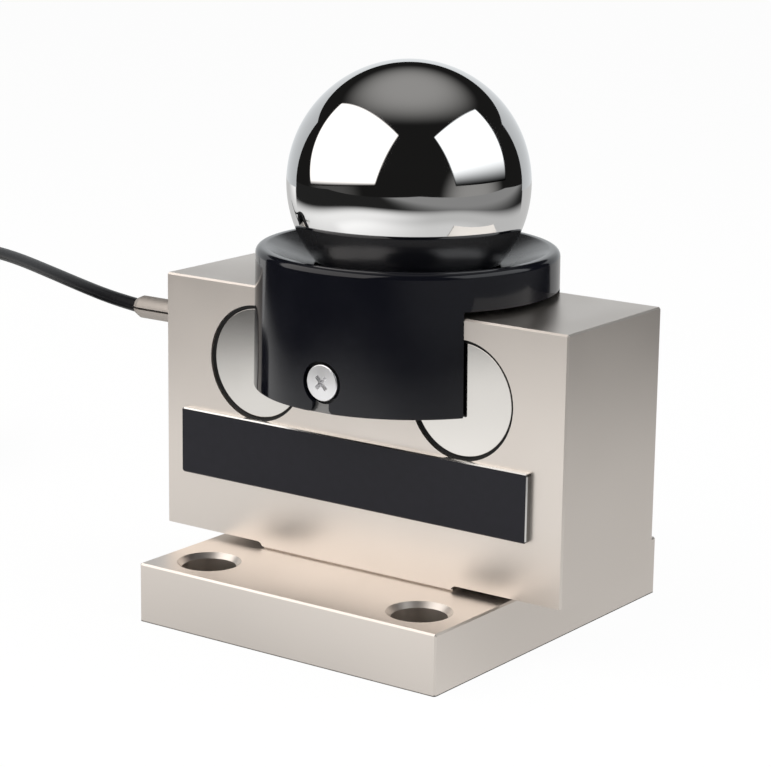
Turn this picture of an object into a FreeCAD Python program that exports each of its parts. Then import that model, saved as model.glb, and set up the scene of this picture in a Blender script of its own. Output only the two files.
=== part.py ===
import FreeCAD, Part
import math
import os

# A bridge type weighing load cell with a load ball, in millimetres.
# The origin is the middle of the foot plate's underside.
# X runs along the beam, the nameplate faces -Y and +Z is up.

V = FreeCAD.Vector
X, Y, Z = V(1, 0, 0), V(0, 1, 0), V(0, 0, 1)

# Foot plate
foot_length = 119.0
foot_depth = 133.0
foot_thickness = 20.0
bolt_hole_diameter = 18.0
bolt_spacing_x = 85.0
bolt_spacing_y = 102.0
bolt_hole_chamfer = 1.7
bolt_hole_deburr = 0.8

# Beam and the neck that joins it to the foot plate
beam_length = 160.0
beam_depth = 56.0
beam_height = 87.5
slot_gap = 2.0
neck_length = 77.0
foot_groove_height = 0.6
foot_groove_depth = 1.2
edge_break = 0.6

# Gauge pockets in the front and rear faces
pocket_spacing = 82.0
pocket_height = 83.3
pocket_mouth_radius = 19.6
pocket_radius = 17.0
web_thickness = 12.0
cover_radius = 18.3
cover_thickness = 1.5
cover_recess = 1.1

# Strain gauges, their board and the wire ways
gauge_length = 11.0
gauge_width = 8.0
gauge_thickness = 0.2
gauge_tab_inset = 1.5
lead_radius = 0.5
lead_reach = 4.0
lead_bend = 2.5
wire_hole_radius = 1.5
wire_hole_out = 12.5
wire_hole_drop = 5.5
passage_radius = 2.0
passage_inset = 4.0
passage_drop = 7.0
passage_lead_offset = 0.7
lead_landing_near = 10.5
lead_landing_far = 8.0
lead_landing_drop = 3.0
board_radius = 15.5
board_thickness = 1.6
board_standoff = 8.0
spacer_radius = 1.5
spacer_circle = 12.5
spacer_angles = (20.0, 90.0, 250.0)
resistor_length = 6.4
resistor_width = 3.2
resistor_height = 1.0
resistor_pitch = 5.5
resistor_count = 4

# Load ball and its seat
ball_radius = 40.0
ball_sink = 4.5
seat_radius = 23.0
seat_floor = 7.5
seat_dish_radius = 41.0
seat_height_over_beam = 1.0
seat_edge_break = 0.6

# Dust sleeve
sleeve_radius = 50.0
sleeve_draft = 0.5
sleeve_roof_gap = 2.0
sleeve_apron_drop = 32.0
sleeve_lip_height = 14.5
lip_radius = 2.2
dish_depth = 6.5
ball_clearance = 1.6
sleeve_edge_break = 0.5

# Sleeve screws, pan head with a cross recess. Seen from its own side, each stands a little to the right.
screw_height = 87.2
screw_offset = 2.6
screw_radius = 3.0
screw_length = 29.0
screw_tip_chamfer = 0.8
screw_hole_depth = 13.0
screw_hole_clearance = 0.05
head_radius = 6.0
head_height = 4.6
head_edge_radius = 0.5
recess_length = 6.6
recess_width = 1.5
recess_depth = 2.6
head_stand = 0.2
counterbore_clearance = 1.0
sleeve_hole_clearance = 0.2

# Relief under each screw's head, a shallow groove whose floor leans out to the apron's foot
relief_half_width = 3.1
relief_mouth_radius = 2.0
relief_foot_depth = 0.9
relief_lean = math.radians(20.0)

# Nameplate
plate_length = 139.6
plate_height = 22.6
plate_thickness = 2.2
plate_offset_x = -2.0
plate_middle_height = 52.9
plate_corner_radius = 1.0
plate_bevel = 0.2

# Cable gland
gland_height = 88.6
gland_radius = 4.0
gland_reach = 36.9
gland_insert = 10.0
gland_taper_length = 2.2
gland_taper_step = 1.0
gland_slit_width = 0.7
gland_slit_length = 24.0
bush_length = 4.0
cable_radius = 2.5
cable_clearance = 0.1
cable_inner_end = 60.0
core_radius = 1.2

# Coil of the cable's spare length
coil_x = -298.0
coil_y = 15.0
coil_pitch = 5.15
coil_turns_wide = 6
coil_turns_high = 6
coil_inner_turn = 30.0
coil_corner_radius = 2.5
tie_width = 4.8
tie_thickness = 1.2
tie_head_length = 6.0
tie_head_height = 4.0

# Stripped wires at the cable's end: each one's place round the jacket's end and its fan angle, in degrees
wire_radius = 0.65
wire_circle = 1.45
wire_straight = 5.0
wire_steps = (12.0, 23.0, 34.0)
wire_places = {
    "black": (0.0, -34.0),
    "green": (288.0, -16.0),
    "shield": (72.0, 4.0),
    "white": (144.0, 22.0),
    "red": (216.0, 38.0),
}
wire_curl = 5.0

# The share of a straight run that the bend at its end may use up
bend_share = 0.45

# Two places that are nearer than this are the same
same_place = 1e-6

# Heights and places worked out from the sizes above
beam_floor = foot_thickness + slot_gap
beam_top = beam_floor + beam_height
face_y = beam_depth / 2
web_y = web_thickness / 2
end_x = beam_length / 2
pocket_x = pocket_spacing / 2
cover_outer_y = face_y - cover_recess
cover_inner_y = cover_outer_y - cover_thickness
ball_bottom = beam_top - ball_sink
ball_height = ball_bottom + ball_radius
seat_bottom = ball_bottom - seat_floor
seat_top = beam_top + seat_height_over_beam
sleeve_roof = beam_top + sleeve_roof_gap
sleeve_bottom = beam_top - sleeve_apron_drop
lip_top = beam_top + sleeve_lip_height
dish_floor = lip_top - dish_depth
head_top_y = sleeve_radius + head_stand
head_seat_y = head_top_y - head_height
counterbore_radius = head_radius + counterbore_clearance
wire_hole_height = pocket_height - wire_hole_drop
passage_y = web_y + passage_inset
passage_height = pocket_height - passage_drop
board_y = web_y + board_standoff
gland_tip_x = -end_x - gland_reach
gland_inner_x = -end_x + gland_insert
bush_inner_x = gland_inner_x + bush_length
coil_outer_turn = coil_inner_turn + (coil_turns_wide - 1) * coil_pitch
coil_top_turn = cable_radius + (coil_turns_high - 1) * coil_pitch

# Routes of the cable, as points chosen by hand: the free lead from the gland to the coil, and the tail
lead_route = [
    V(gland_tip_x, 0.0, gland_height),
    V(-134.2, 0.0, gland_height),
    V(-152.0, 11.8, 88.7),
    V(-185.0, 28.1, 88.0),
    V(-228.0, 52.4, 85.1),
    V(-266.0, 72.0, 81.0),
    V(-303.0, 76.0, 54.0),
    V(-337.0, 66.0, 36.0),
    V(-352.0, 42.0, 28.8),
    V(coil_x - coil_outer_turn, coil_y, coil_top_turn),
]
tail_route = [
    V(coil_x - coil_outer_turn, coil_y, cable_radius),
    V(-354.5, -8.0, cable_radius),
    V(-348.0, -32.0, cable_radius),
    V(-332.0, -49.0, cable_radius),
]

sides = {"front": -1, "rear": 1}
ends = {"left": -1, "right": 1}


def box(low, high):
    """A box between two opposite corners."""
    size = high - low
    return Part.makeBox(size.x, size.y, size.z, low)


def rectangle_bar(low, high, way):
    """A bar drawn out along a way from a flat rectangle in an XZ plane, given by two opposite corners."""
    corners = [low, V(high.x, low.y, low.z), high, V(low.x, low.y, high.z)]
    return Part.Face(Part.makePolygon(corners + [low])).extrude(way)


def rod(radius, start, end):
    """A round bar or a drill between two points."""
    return Part.makeCylinder(radius, (end - start).Length, start, end - start)


def closed_face(edges):
    """A flat face inside a closed outline."""
    return Part.Face(Part.Wire([edge.toShape() for edge in edges]))


def line(a, b):
    return Part.LineSegment(a, b)


def turned(outline):
    """A solid turned about the Z axis from a flat outline in the XZ plane."""
    return closed_face(outline).revolve(V(), Z, 360)


def straight_edges(shape, axis, keep):
    """The straight edges of a shape that run along an axis and whose middles pass a test."""
    found = []
    for edge in shape.Edges:
        run = edge.Vertexes[-1].Point - edge.Vertexes[0].Point
        if edge.Curve.TypeId == "Part::GeomLine" and run.cross(axis).Length < same_place * run.Length:
            if keep(edge.CenterOfMass):
                found.append(edge)
    return found


def level_edges(shape, height):
    """The edges round a flat face at one height."""
    return [edge for edge in shape.Edges if all(abs(end.Z - height) < same_place for end in edge.Vertexes)]


def bend_route(points, longest_setback):
    """Straight runs joined by tangent arcs, each as large as its two runs allow, and the arcs' radii."""
    edges, radii = [], []
    here = points[0]
    for before, corner, after in zip(points, points[1:], points[2:]):
        arriving, leaving = corner - before, after - corner
        setback = min(bend_share * arriving.Length, bend_share * leaving.Length, longest_setback)
        turn = arriving.getAngle(leaving)
        radius = setback / math.tan(turn / 2)
        arriving.normalize()
        leaving.normalize()
        inward = leaving - arriving
        inward.normalize()
        start, end = corner - arriving * setback, corner + leaving * setback
        middle = corner + inward * (radius / math.cos(turn / 2) - radius)
        edges += [line(here, start), Part.Arc(start, middle, end)]
        radii.append(radius)
        here = end
    edges.append(line(here, points[-1]))
    return Part.Wire([edge.toShape() for edge in edges]), radii


def tube(points, radius, longest_setback=math.inf):
    """A round tube along a bent route, its length and its bend radii."""
    wire, radii = bend_route(points, longest_setback)
    ring = Part.Wire(Part.makeCircle(radius, points[0], points[1] - points[0]))
    return Part.Solid(wire.makePipeShell([ring], True, False)), wire.Length, radii


def foot_plate():
    """The foot plate with broken edges and four chamfered bolt holes."""
    half_x, half_y = foot_length / 2, foot_depth / 2
    plate = box(V(-half_x, -half_y, 0), V(half_x, half_y, foot_thickness))
    corners = straight_edges(plate, Z, lambda middle: True)
    plate = plate.makeChamfer(edge_break, corners + level_edges(plate, foot_thickness))
    radius = bolt_hole_diameter / 2
    for side_x in (-1, 1):
        for side_y in (-1, 1):
            foot = V(side_x * bolt_spacing_x / 2, side_y * bolt_spacing_y / 2, 0)
            plate = plate.cut(rod(radius, foot, foot + Z * foot_thickness))
            mouth = foot + Z * (foot_thickness - bolt_hole_chamfer)
            plate = plate.cut(Part.makeCone(radius, radius + bolt_hole_chamfer, bolt_hole_chamfer, mouth))
            plate = plate.cut(Part.makeCone(radius + bolt_hole_deburr, radius, bolt_hole_deburr, foot))
    return plate


def beam_outline():
    """The beam and its neck seen from the front: a deep bar over two slots, each with a rounded inner end."""
    neck = neck_length / 2
    flare = neck + slot_gap
    lean = slot_gap * math.sqrt(0.5)
    edges = [line(V(-end_x, 0, beam_top), V(end_x, 0, beam_top)), line(V(-neck, 0, 0), V(neck, 0, 0))]
    for hand in ends.values():
        start, end = V(hand * neck, 0, foot_thickness), V(hand * flare, 0, beam_floor)
        edges += [
            line(V(hand * neck, 0, 0), start),
            Part.Arc(start, V(hand * (flare - lean), 0, foot_thickness + lean), end),
            line(end, V(hand * end_x, 0, beam_floor)),
            line(V(hand * end_x, 0, beam_floor), V(hand * end_x, 0, beam_top)),
        ]
    return Part.__sortEdges__([edge.toShape() for edge in edges])


def beam():
    """The beam with broken edges, standing on its neck."""
    face = Part.Face(Part.Wire(beam_outline()))
    face.translate(V(0, -face_y, 0))
    bar = face.extrude(V(0, beam_depth, 0))
    corners = straight_edges(bar, Z, lambda middle: abs(abs(middle.x) - end_x) < same_place)
    bar = bar.makeChamfer(edge_break, corners + level_edges(bar, beam_top))
    for side in sides.values():
        inner, outer = sorted((side * face_y, side * (face_y - foot_groove_depth)))
        half = neck_length / 2 + slot_gap
        groove_top = foot_thickness + foot_groove_height
        bar = bar.cut(box(V(-half, inner, foot_thickness), V(half, outer, groove_top)))
    return bar


def pocket(side, hand):
    """A gauge pocket: a wide mouth for the cover and its ring, and a narrower well down to the web."""
    def at(y):
        return V(hand * pocket_x, side * y, pocket_height)
    mouth = rod(pocket_mouth_radius, at(face_y), at(cover_inner_y))
    return mouth.fuse(rod(pocket_radius, at(face_y), at(web_y)))


def wire_hole(hand):
    """A cross hole through the web for a front gauge's lead."""
    x = hand * (pocket_x + wire_hole_out)
    return rod(wire_hole_radius, V(x, -web_y, wire_hole_height), V(x, web_y, wire_hole_height))


def cable_way():
    """The cable's bored way: the gland's seat, the cable's own bore and a cross hole to the rear pocket."""
    turn = V(-pocket_x - wire_hole_out, 0, gland_height)
    seat = rod(gland_radius, V(-end_x, 0, gland_height), V(bush_inner_x, 0, gland_height))
    bore_radius = cable_radius + cable_clearance
    bore = rod(bore_radius, V(bush_inner_x, 0, gland_height), turn + X * bore_radius)
    return seat.fuse(bore).fuse(rod(passage_radius, turn, turn + Y * web_y))


def on_screw(side, y):
    """A point on a sleeve screw's axis, at a distance from the middle of the beam."""
    return V(-side * screw_offset, side * y, screw_height)


def screw_hole(side):
    """The threaded hole of a sleeve screw, at its thread's outer diameter."""
    floor_y = face_y - screw_hole_depth
    return rod(screw_radius + screw_hole_clearance, on_screw(side, face_y), on_screw(side, floor_y))


def spring_element():
    """The foot plate and beam in one piece, with every pocket, seat and wire way cut in it."""
    body = foot_plate().fuse(beam())
    for side in sides.values():
        body = body.cut(screw_hole(side))
        for hand in ends.values():
            body = body.cut(pocket(side, hand))
    for hand in ends.values():
        body = body.cut(wire_hole(hand))
    left, right = V(-pocket_x, passage_y, passage_height), V(pocket_x, passage_y, passage_height)
    body = body.cut(rod(passage_radius, left, right))
    body = body.cut(cable_way())
    body = body.cut(rod(seat_radius, V(0, 0, seat_bottom), V(0, 0, beam_top)))
    return body.removeSplitter()


def ball_seat():
    """The hardened cup that carries the ball, with a hollow a little rounder than the ball."""
    seat = rod(seat_radius, V(0, 0, seat_bottom), V(0, 0, seat_top))
    seat = seat.cut(Part.makeSphere(seat_dish_radius, V(0, 0, ball_bottom + seat_dish_radius)))
    rims = [edge for edge in seat.Edges if abs(edge.CenterOfMass.z - seat_top) < same_place]
    outer = max(rims, key=lambda edge: edge.Length)
    return seat.makeChamfer(seat_edge_break, [outer])


def load_ball():
    return Part.makeSphere(ball_radius, V(0, 0, ball_height))


def sleeve_blank():
    """The sleeve before it is cut: a drafted drum with a rounded lip and a dish round the ball."""
    ball_gap = math.sqrt(ball_radius ** 2 - (ball_height - dish_floor) ** 2) + ball_clearance
    lip_middle = V(sleeve_radius - lip_radius, 0, lip_top - lip_radius)
    foot_radius = sleeve_radius + sleeve_draft
    lean = lip_radius * math.sqrt(0.5)
    points = [
        V(0, 0, sleeve_bottom),
        V(foot_radius - sleeve_edge_break, 0, sleeve_bottom),
        V(foot_radius, 0, sleeve_bottom + sleeve_edge_break),
        lip_middle + X * lip_radius,
        lip_middle + Z * lip_radius,
        V(ball_gap, 0, dish_floor),
        V(ball_gap, 0, sleeve_roof),
        V(0, 0, sleeve_roof),
    ]
    edges = [line(a, b) for a, b in zip(points, points[1:] + points[:1])]
    edges[3] = Part.Arc(points[3], lip_middle + V(lean, 0, lean), points[4])
    return turned(edges)


def screw_recess(side):
    """A sleeve screw's hole and counterbore, and the relief under its head with a rounded mouth."""
    def at(x, y, z):
        return V(x - side * screw_offset, side * y, z)
    outer_y = sleeve_radius + sleeve_draft
    seat = on_screw(side, head_seat_y)
    hole = rod(screw_radius + sleeve_hole_clearance, on_screw(side, face_y), seat)
    counterbore = rod(counterbore_radius, seat, on_screw(side, outer_y))
    half, mouth = relief_half_width, relief_mouth_radius
    lean = mouth * (1 - math.sqrt(0.5))
    edges = []
    for hand in (-1, 1):
        foot = at(hand * (half + mouth), face_y, sleeve_bottom)
        bend = at(hand * (half + lean), face_y, sleeve_bottom + lean)
        rise = at(hand * half, face_y, sleeve_bottom + mouth)
        edges += [Part.Arc(foot, bend, rise), line(rise, at(hand * half, face_y, screw_height))]
    edges.append(line(edges[1].EndPoint, edges[3].EndPoint))
    edges.append(line(edges[0].StartPoint, edges[2].StartPoint))
    ordered = Part.__sortEdges__([edge.toShape() for edge in edges])
    relief = Part.Face(Part.Wire(ordered)).extrude(V(0, side * (outer_y - face_y), 0))
    foot_y = outer_y - relief_foot_depth
    top_y = foot_y - (screw_height - sleeve_bottom) * math.tan(relief_lean)
    wide = half + mouth
    section = [(face_y, sleeve_bottom), (foot_y, sleeve_bottom), (top_y, screw_height), (face_y, screw_height)]
    corners = [at(-wide, y, z) for y, z in section]
    ramp = Part.Face(Part.makePolygon(corners + corners[:1])).extrude(X * 2 * wide)
    return counterbore.fuse([hole, relief.cut(ramp)])


def dust_sleeve():
    """The black moulding: a drum cut by a slot as wide as the beam, which leaves an apron on each face."""
    reach = sleeve_radius + sleeve_draft
    slot = box(V(-reach, -face_y, sleeve_bottom), V(reach, face_y, sleeve_roof))
    sleeve = sleeve_blank().cut(slot)
    for side in sides.values():
        sleeve = sleeve.cut(screw_recess(side))
    return sleeve


def sleeve_screw(side):
    """A pan head screw with a cross recess, its shank through the sleeve into the beam."""
    seat, top = on_screw(side, head_seat_y), on_screw(side, head_top_y)
    tip = on_screw(side, head_seat_y - screw_length)
    head = rod(head_radius, seat, top)
    rims = [edge for edge in head.Edges if (edge.CenterOfMass - top).Length < same_place]
    head = head.makeFillet(head_edge_radius, rims)
    shank = rod(screw_radius, tip, seat)
    ends_of_shank = [edge for edge in shank.Edges if (edge.CenterOfMass - tip).Length < same_place]
    screw = head.fuse(shank.makeChamfer(screw_tip_chamfer, ends_of_shank))
    half, narrow = recess_length / 2, recess_width / 2
    floor = on_screw(side, head_top_y - recess_depth)
    for width, height in ((half, narrow), (narrow, half)):
        reach = V(width, 0, height)
        bar = rectangle_bar(floor - reach, floor + reach, top - floor)
        bar.rotate(top, Y, 45)
        screw = screw.cut(bar)
    return screw


def pocket_cover(side, hand):
    """A flat metal cover, sunk a little below the beam's face."""
    inner = V(hand * pocket_x, side * cover_inner_y, pocket_height)
    return rod(cover_radius, inner, inner + Y * side * cover_thickness)


def pocket_seal(side, hand):
    """The black sealing ring that fills the gap round a cover."""
    inner = V(hand * pocket_x, side * cover_inner_y, pocket_height)
    ring = rod(pocket_mouth_radius, inner, inner + Y * side * cover_thickness)
    return ring.cut(pocket_cover(side, hand))


def strain_gauge(side, hand):
    """A foil gauge bonded to the web at 45 degrees, where the shear strain is largest."""
    low, high = sorted((side * web_y, side * (web_y + gauge_thickness)))
    half_length, half_width = gauge_length / 2, gauge_width / 2
    middle = V(hand * pocket_x, 0, pocket_height)
    foil = box(V(-half_length, low, -half_width) + middle, V(half_length, high, half_width) + middle)
    foil.rotate(middle, Y, side * hand * 45)
    return foil


def gauge_tab(side, hand):
    """The soldering point on the low end of a gauge, where its lead starts."""
    reach = (gauge_length / 2 - gauge_tab_inset) * math.sqrt(0.5)
    return V(hand * pocket_x + side * hand * reach, side * (web_y + gauge_thickness), pocket_height - reach)


def web_crossing(hand, far_y):
    """The route of a front gauge's lead, from its tab through the web to a depth behind it."""
    tab = gauge_tab(-1, hand)
    hole_x = hand * (pocket_x + wire_hole_out)
    near_y = -web_y - lead_reach
    return [
        tab,
        V(tab.x, near_y, tab.z),
        V(hole_x, near_y, wire_hole_height),
        V(hole_x, far_y, wire_hole_height),
    ]


def gauge_leads():
    """Each gauge's lead to the board: straight, through the web, or by the passage between rear pockets."""
    near_tab, far_tab = gauge_tab(1, -1), gauge_tab(1, 1)
    high, low = passage_height + passage_lead_offset, passage_height - passage_lead_offset
    high_end = V(-pocket_x + lead_landing_near, passage_y, high)
    low_end = V(-pocket_x + lead_landing_far, passage_y, low - lead_landing_drop)
    mouth_x = pocket_x - pocket_radius
    low_turn = V(-mouth_x - lead_reach, passage_y, low)
    routes = {
        "rear_left": [near_tab, V(near_tab.x, board_y, near_tab.z)],
        "front_left": web_crossing(-1, board_y),
        "rear_right": [far_tab, V(far_tab.x, passage_y, far_tab.z), V(mouth_x, passage_y, high), high_end],
        "front_right": web_crossing(1, passage_y) + [V(mouth_x, passage_y, low), low_turn, low_end],
    }
    routes["rear_right"].append(V(high_end.x, board_y, high_end.z))
    routes["front_right"].append(V(low_end.x, board_y, low_end.z))
    return {place: tube(route, lead_radius, lead_bend)[0] for place, route in routes.items()}


def on_board(y):
    """A point over the middle of the rear left pocket."""
    return V(-pocket_x, y, pocket_height)


def compensation_board():
    return rod(board_radius, on_board(board_y), on_board(board_y + board_thickness))


def board_spacers():
    """Three posts that stand on the web and carry the board."""
    posts = []
    for angle in spacer_angles:
        turn = math.radians(angle)
        way = V(math.cos(turn), 0, math.sin(turn)) * spacer_circle
        posts.append(rod(spacer_radius, on_board(web_y) + way, on_board(board_y) + way))
    return Part.makeCompound(posts)


def trim_resistors():
    """A row of flat trim resistors on the board's outer face."""
    chips = []
    low_y = board_y + board_thickness
    for index in range(resistor_count):
        step = (index - (resistor_count - 1) / 2) * resistor_pitch
        middle = on_board(low_y) + Z * step
        half = V(resistor_length / 2, 0, resistor_width / 2)
        chips.append(box(middle - half, middle + half + Y * resistor_height))
    return Part.makeCompound(chips)


def nameplate():
    """The plate on the front face, with rounded corners and a bevelled edge."""
    half_x, half_z = plate_length / 2, plate_height / 2
    low = V(plate_offset_x - half_x, -face_y - plate_thickness, plate_middle_height - half_z)
    high = V(plate_offset_x + half_x, -face_y, plate_middle_height + half_z)
    plate = box(low, high)
    plate = plate.makeFillet(plate_corner_radius, straight_edges(plate, Y, lambda middle: True))
    front = [face for face in plate.Faces if abs(face.CenterOfMass.y - low.y) < same_place]
    return plate.makeChamfer(plate_bevel, front[0].Edges)


def cable_gland():
    """The split ferrule that holds the cable: a tube with a tapered outer end and a slit on its front."""
    def at(x):
        return V(x, 0, gland_height)
    taper_x = gland_tip_x + gland_taper_length
    body = rod(gland_radius, at(taper_x), at(gland_inner_x))
    tip_radius = gland_radius - gland_taper_step
    nose = Part.makeCone(tip_radius, gland_radius, gland_taper_length, at(gland_tip_x), X)
    body = body.fuse(nose).cut(rod(cable_radius + cable_clearance, at(gland_tip_x), at(gland_inner_x)))
    half = gland_slit_width / 2
    low = V(gland_tip_x, -gland_radius, gland_height - half)
    return body.cut(box(low, V(gland_tip_x + gland_slit_length, 0, gland_height + half))).removeSplitter()


def gland_bush():
    """The rubber bush that seals the cable behind the ferrule."""
    inner, outer = V(gland_inner_x, 0, gland_height), V(bush_inner_x, 0, gland_height)
    return rod(gland_radius, inner, outer).cut(rod(cable_radius, inner, outer))


def cable_inner_run():
    """The cable's end inside the ferrule and the beam, and its cores, which turn off to the board."""
    tip, inner = V(gland_tip_x, 0, gland_height), V(-cable_inner_end, 0, gland_height)
    turn = V(-pocket_x - wire_hole_out, 0, gland_height)
    cores = tube([inner, turn, V(turn.x, board_y, gland_height)], core_radius)[0]
    return rod(cable_radius, tip, inner).fuse(cores)


def coil_ring():
    """The outer shape of the coiled cable: a ring with a rounded square section."""
    inner, outer = coil_inner_turn - cable_radius, coil_outer_turn + cable_radius
    top = coil_top_turn + cable_radius
    ring = rod(outer, V(coil_x, coil_y, 0), V(coil_x, coil_y, top))
    ring = ring.cut(rod(inner, V(coil_x, coil_y, 0), V(coil_x, coil_y, top)))
    rims = [edge for edge in ring.Edges if edge.Curve.TypeId == "Part::GeomCircle"]
    return ring.makeFillet(coil_corner_radius, rims)


def coil_tie():
    """The band round the coil's section, with its lock on the outside."""
    inner, outer = coil_inner_turn - cable_radius, coil_outer_turn + cable_radius
    top = coil_top_turn + cable_radius
    half = tie_width / 2
    low, high = V(coil_x + inner, coil_y - half, 0), V(coil_x + outer, coil_y + half, top)
    around = V(tie_thickness, 0, 0)
    band = box(low - around, high + around + Z * tie_thickness)
    band = band.makeFillet(coil_corner_radius, straight_edges(band, Y, lambda middle: middle.z > top))
    band = band.cut(box(low + Z * tie_thickness, high))
    lock = box(V(high.x + tie_thickness, coil_y - half, top / 2),
               V(high.x + tie_thickness + tie_head_height, coil_y + half, top / 2 + tie_head_length))
    return band.fuse(lock).removeSplitter()


def wire_route(place, fan):
    """A stripped wire's route: out of the jacket beside its neighbours, then fanned out, down to the floor."""
    end, before = tail_route[-1], tail_route[-2]
    way = end - before
    way.normalize()
    across = way.cross(Z)
    turn = math.radians(place)
    start = end + (across * math.cos(turn) + Z * math.sin(turn)) * wire_circle
    route = [start, start + way * wire_straight]
    for index, step in enumerate(wire_steps):
        spread = FreeCAD.Rotation(Z, fan + wire_curl * index)
        sink = min(index + 1, 2) / 2
        height = start.z + (wire_radius - start.z) * sink
        point = end + spread.multVec(way) * step
        route.append(V(point.x, point.y, height))
    return route


def build():
    """Every piece by its name."""
    lead, lead_length, lead_radii = tube(lead_route, cable_radius)
    tail, tail_length, tail_radii = tube(tail_route, cable_radius)
    section = math.pi * cable_radius ** 2
    runs = (("lead", lead, lead_length, lead_radii), ("tail", tail, tail_length, tail_radii))
    for name, solid, length, radii in runs:
        print(name, "radii", [round(radius, 1) for radius in radii], "length", round(length, 1),
              "volume ratio", round(solid.Volume / (section * length), 4))
    tie = coil_tie()
    parts = {
        "spring_element": spring_element(),
        "ball_seat": ball_seat(),
        "load_ball": load_ball(),
        "dust_sleeve": dust_sleeve(),
        "compensation_board": compensation_board(),
        "board_spacers": board_spacers(),
        "trim_resistors": trim_resistors(),
        "nameplate": nameplate(),
        "cable_gland": cable_gland(),
        "gland_bush": gland_bush(),
        "cable_inner_run": cable_inner_run(),
        "cable_lead": lead,
        "cable_coil": coil_ring().cut(tie).cut(lead).cut(tail),
        "coil_tie": tie,
        "cable_tail": tail,
    }
    for side_name, side in sides.items():
        parts["sleeve_screw_" + side_name] = sleeve_screw(side)
        for hand_name, hand in ends.items():
            place = side_name + "_" + hand_name
            parts["pocket_cover_" + place] = pocket_cover(side, hand)
            parts["pocket_seal_" + place] = pocket_seal(side, hand)
            parts["strain_gauge_" + place] = strain_gauge(side, hand)
    for place, solid in gauge_leads().items():
        parts["gauge_lead_" + place] = solid
    for name, (place, fan) in wire_places.items():
        parts["wire_" + name] = tube(wire_route(place, fan), wire_radius)[0]
    return parts


os.makedirs("parts", exist_ok=True)
for node, shape in build().items():
    if not shape.isValid():
        raise ValueError(node + " is not a valid solid")
    shape.exportStep("parts/" + node + ".step")
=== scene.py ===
import math
from collections import namedtuple

import bmesh
import bpy
from mathutils import Matrix, Quaternion, Vector


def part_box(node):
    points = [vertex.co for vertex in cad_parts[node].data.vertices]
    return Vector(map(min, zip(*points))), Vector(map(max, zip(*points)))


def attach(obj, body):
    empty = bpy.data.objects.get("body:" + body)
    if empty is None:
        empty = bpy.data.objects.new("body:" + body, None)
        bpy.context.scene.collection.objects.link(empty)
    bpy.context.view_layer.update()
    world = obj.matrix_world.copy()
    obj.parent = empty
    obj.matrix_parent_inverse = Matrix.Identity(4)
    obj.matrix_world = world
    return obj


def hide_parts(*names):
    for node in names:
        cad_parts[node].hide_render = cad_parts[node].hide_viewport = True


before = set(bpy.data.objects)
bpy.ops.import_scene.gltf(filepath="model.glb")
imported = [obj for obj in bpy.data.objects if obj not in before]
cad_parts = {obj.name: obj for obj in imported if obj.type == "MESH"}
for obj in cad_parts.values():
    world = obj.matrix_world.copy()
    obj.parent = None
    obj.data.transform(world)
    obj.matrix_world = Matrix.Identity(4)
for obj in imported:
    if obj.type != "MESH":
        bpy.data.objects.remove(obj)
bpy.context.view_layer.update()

bl_info = {
    "name": "Weighing load cell",
    "version": (1, 0, 0),
    "blender": (4, 5, 0),
    "location": "3D View > Sidebar > Load cell",
    "description": "Gives the load cell its finishes, its cable and a pale studio",
    "category": "Object",
}

# Places that the CAD parts give, in metres
BALL_LOW, BALL_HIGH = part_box("load_ball")
BALL_MIDDLE = (BALL_LOW + BALL_HIGH) / 2
BALL_RADIUS = (BALL_HIGH.z - BALL_LOW.z) / 2
SLEEVE_LOW, SLEEVE_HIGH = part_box("dust_sleeve")
BODY_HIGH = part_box("spring_element")[1]
PLATE_LOW, PLATE_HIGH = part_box("nameplate")
BEAM_FACE = -PLATE_HIGH.y
BEAM_TOP = BODY_HIGH.z

MM = 0.001
SIDES = {"front": -1, "rear": 1}
ENDS = ("left", "right")

# How meshes are cleaned and shaded, and how far cutters stand past what they cut
MERGE = 0.001 * MM
SHARP_EDGE = math.radians(35.0)
SHARP_SHADING = math.radians(32.0)
OVERCUT = 1.0 * MM
CUT_CLEARANCE = 0.01 * MM

# How far a face's normal points along an axis: facing that way, or leaning towards it
FACING = 0.9
LEANING = 0.5

# Small forms of the dressed pieces. The lip's width is counted in its rounds.
LIP_WIDTH = 1.6
SCREW_TIP = 0.8 * MM
HEAD_CROWN = 0.3 * MM
HEAD_FOOT_ROUND = 0.4 * MM
RECESS_ROUND = 0.12 * MM
RECESS_TAPER = (0.55, 0.7, 1.0)
COVER_ROUND = 0.15 * MM
SEAL_DIP = 0.25 * MM
SEAL_ROUND = 0.5 * MM

# Colours of the pieces inside the beam, under the ball and on the cable, and the grey painted on the floors
# of the sleeve's reliefs as a painted reflection
SEAT_STEEL = (0.42, 0.42, 0.43)
RELIEF_PAINTED_REFLECTION_GREY = (0.05, 0.05, 0.05)
GAUGE_AMBER = (0.45, 0.2, 0.05)
ENAMEL_RED = (0.35, 0.08, 0.03)
BOARD_GREEN = (0.02, 0.13, 0.05)
RESISTOR_BLACK = (0.03, 0.03, 0.035)
SPACER_BRASS = (0.78, 0.57, 0.27)
TIE_BLACK = (0.02, 0.02, 0.02)
SHIELD = "shield"
WIRES = {
    "black": (0.012, 0.012, 0.012),
    "green": (0.02, 0.2, 0.05),
    SHIELD: (0.62, 0.6, 0.57),
    "white": (0.7, 0.7, 0.68),
    "red": (0.4, 0.015, 0.015),
}

# The cable's route from the gland to the coil, and from the coil to its stripped end, in millimetres
LEAD_ROUTE = [
    (-116.9, 0.0, 88.6),
    (-130.8, 3.6, 88.6),
    (-152.0, 11.8, 88.7),
    (-185.0, 28.1, 88.0),
    (-228.0, 52.4, 85.5),
    (-266.0, 72.0, 82.0),
    (-303.0, 76.0, 54.0),
    (-337.0, 66.0, 36.0),
    (-352.0, 42.0, 28.8),
]
TAIL_ROUTE = [
    (-354.5, -8.0, 2.5),
    (-348.0, -32.0, 2.5),
    (-332.0, -49.0, 2.5),
]

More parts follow.
